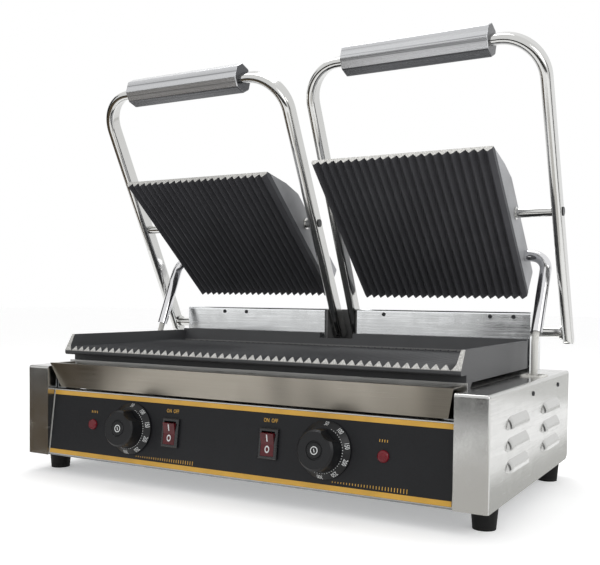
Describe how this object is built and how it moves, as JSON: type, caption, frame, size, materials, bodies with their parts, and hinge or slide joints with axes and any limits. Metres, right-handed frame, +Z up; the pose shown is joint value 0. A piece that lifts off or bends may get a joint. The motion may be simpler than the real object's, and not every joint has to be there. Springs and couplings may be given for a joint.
{
  "type": "contact grill",
  "caption": "Twin contact grill: ribbed cast lower plate, ribbed upper plates that tilt on swinging handle bows, grease drawer, and a front panel with dials and rocker switches.",
  "frame": {"origin": "middle of the overall box, on the table", "axes": "+X to the grill's right seen from the front, +Y to its back, +Z up"},
  "size_m": [0.5906, 0.3532, 0.5007],
  "materials": {
    "body_steel": "satin",
    "zinc_steel": "satin",
    "tray_steel": "satin",
    "bow_steel": "polished",
    "chrome": "polished",
    "cast_iron": "enamelled",
    "cover_paint": "hammered",
    "black_paint": "matt",
    "heater_steel": "oxidised",
    "spring_steel": "oiled",
    "black_foil": "satin",
    "gold_print": "satin",
    "black_plastic": "satin",
    "grip_plastic": "satin",
    "red_plastic": "gloss",
    "red_lens": "gloss",
    "white_plastic": "satin",
    "lead_sleeve": "braided",
    "rubber": "matt"
  },
  "bodies": {
    "base": {"base_pan": "zinc_steel", "left_side_pan": "body_steel", "right_side_pan": "body_steel", "top_deck": "body_steel", "rear_panel": "zinc_steel", "front_panel": "body_steel", "panel_overlay": "black_foil", "overlay_stripes": "gold_print", "lower_grill_plate": "cast_iron", "lower_heating_elements": "heater_steel", "heater_clamp_bars": "zinc_steel", "lower_heat_shield": "zinc_steel", "left_hinge_cover": "body_steel", "right_hinge_cover": "body_steel", "centre_bracket": "black_paint", "hinge_bearings": "zinc_steel", "lid_springs": "spring_steel", "rubber_feet": "rubber", "foot_screws": "zinc_steel", "body_screws": "zinc_steel", "thermostats": "zinc_steel", "lamp_lenses": "red_lens", "switch_housings": "black_plastic", "terminal_block": "white_plastic", "cord_gland": "black_plastic", "deck_bushings": "white_plastic", "lead_clips": "white_plastic", "left_heater_lead": "lead_sleeve", "right_heater_lead": "lead_sleeve", "tray_rails": "zinc_steel"},
    "grease_tray": {"grease_tray": "tray_steel"},
    "left_knob": {"left_knob": "black_plastic", "left_knob_spindle": "zinc_steel"},
    "right_knob": {"right_knob": "black_plastic", "right_knob_spindle": "zinc_steel"},
    "left_rocker": {"left_rocker": "red_plastic"},
    "right_rocker": {"right_rocker": "red_plastic"},
    "left_lid": {"left_handle_bow": "bow_steel", "left_grip_upper_half": "grip_plastic", "left_grip_lower_half": "grip_plastic", "left_cross_shaft": "bow_steel", "left_hinge_shaft": "bow_steel", "left_bow_plugs": "black_plastic"},
    "right_lid": {"right_handle_bow": "bow_steel", "right_grip_upper_half": "grip_plastic", "right_grip_lower_half": "grip_plastic", "right_cross_shaft": "bow_steel", "right_hinge_shaft": "bow_steel", "right_bow_plugs": "black_plastic"},
    "left_upper": {"left_upper_plate": "cast_iron", "left_upper_cover": "cover_paint", "left_upper_heater": "heater_steel", "left_conduit": "chrome", "left_pivot_bushes": "bow_steel"},
    "right_upper": {"right_upper_plate": "cast_iron", "right_upper_cover": "cover_paint", "right_upper_heater": "heater_steel", "right_conduit": "chrome", "right_pivot_bushes": "bow_steel"}
  },
  "joints": [
    {"name": "tray_slide", "type": "slide", "parent": "base", "child": "grease_tray", "axis": [0, -1, 0], "range_m": [0, 0.09]},
    {"name": "left_knob_turn", "type": "hinge", "parent": "base", "child": "left_knob", "pos_m": [-0.128, -0.15022, 0.063], "axis": [0, -0.9917, 0.1285], "range_deg": [0, 270]},
    {"name": "right_knob_turn", "type": "hinge", "parent": "base", "child": "right_knob", "pos_m": [0.119, -0.15022, 0.063], "axis": [0, -0.9917, 0.1285], "range_deg": [0, 270]},
    {"name": "left_rocker_tilt", "type": "hinge", "parent": "base", "child": "left_rocker", "pos_m": [-0.072, -0.14873, 0.06281], "axis": [-1, 0, 0], "range_deg": [0, 16]},
    {"name": "right_rocker_tilt", "type": "hinge", "parent": "base", "child": "right_rocker", "pos_m": [0.054, -0.14873, 0.06281], "axis": [-1, 0, 0], "range_deg": [0, 16]},
    {"name": "left_lid_swing", "type": "hinge", "parent": "base", "child": "left_lid", "pos_m": [-0.151, 0.13463, 0.175], "axis": [1, 0, 0], "range_deg": [0, 60.1], "deforming": ["left_heater_lead"]},
    {"name": "right_lid_swing", "type": "hinge", "parent": "base", "child": "right_lid", "pos_m": [0.151, 0.13463, 0.175], "axis": [1, 0, 0], "range_deg": [0, 62.6], "deforming": ["right_heater_lead"]},
    {"name": "left_upper_tilt", "type": "hinge", "parent": "left_lid", "child": "left_upper", "pos_m": [-0.134, 0.06467, 0.30769], "axis": [1, 0, 0], "range_deg": [-19.8, 0]},
    {"name": "right_upper_tilt", "type": "hinge", "parent": "right_lid", "child": "right_upper", "pos_m": [0.134, 0.07052, 0.31061], "axis": [1, 0, 0], "range_deg": [-17.4, 0]}
  ],
  "couplings": [
    {"joint": "left_upper_tilt", "follows": "left_lid_swing", "ratio": -0.32945},
    {"joint": "right_upper_tilt", "follows": "right_lid_swing", "ratio": -0.27796}
  ]
}
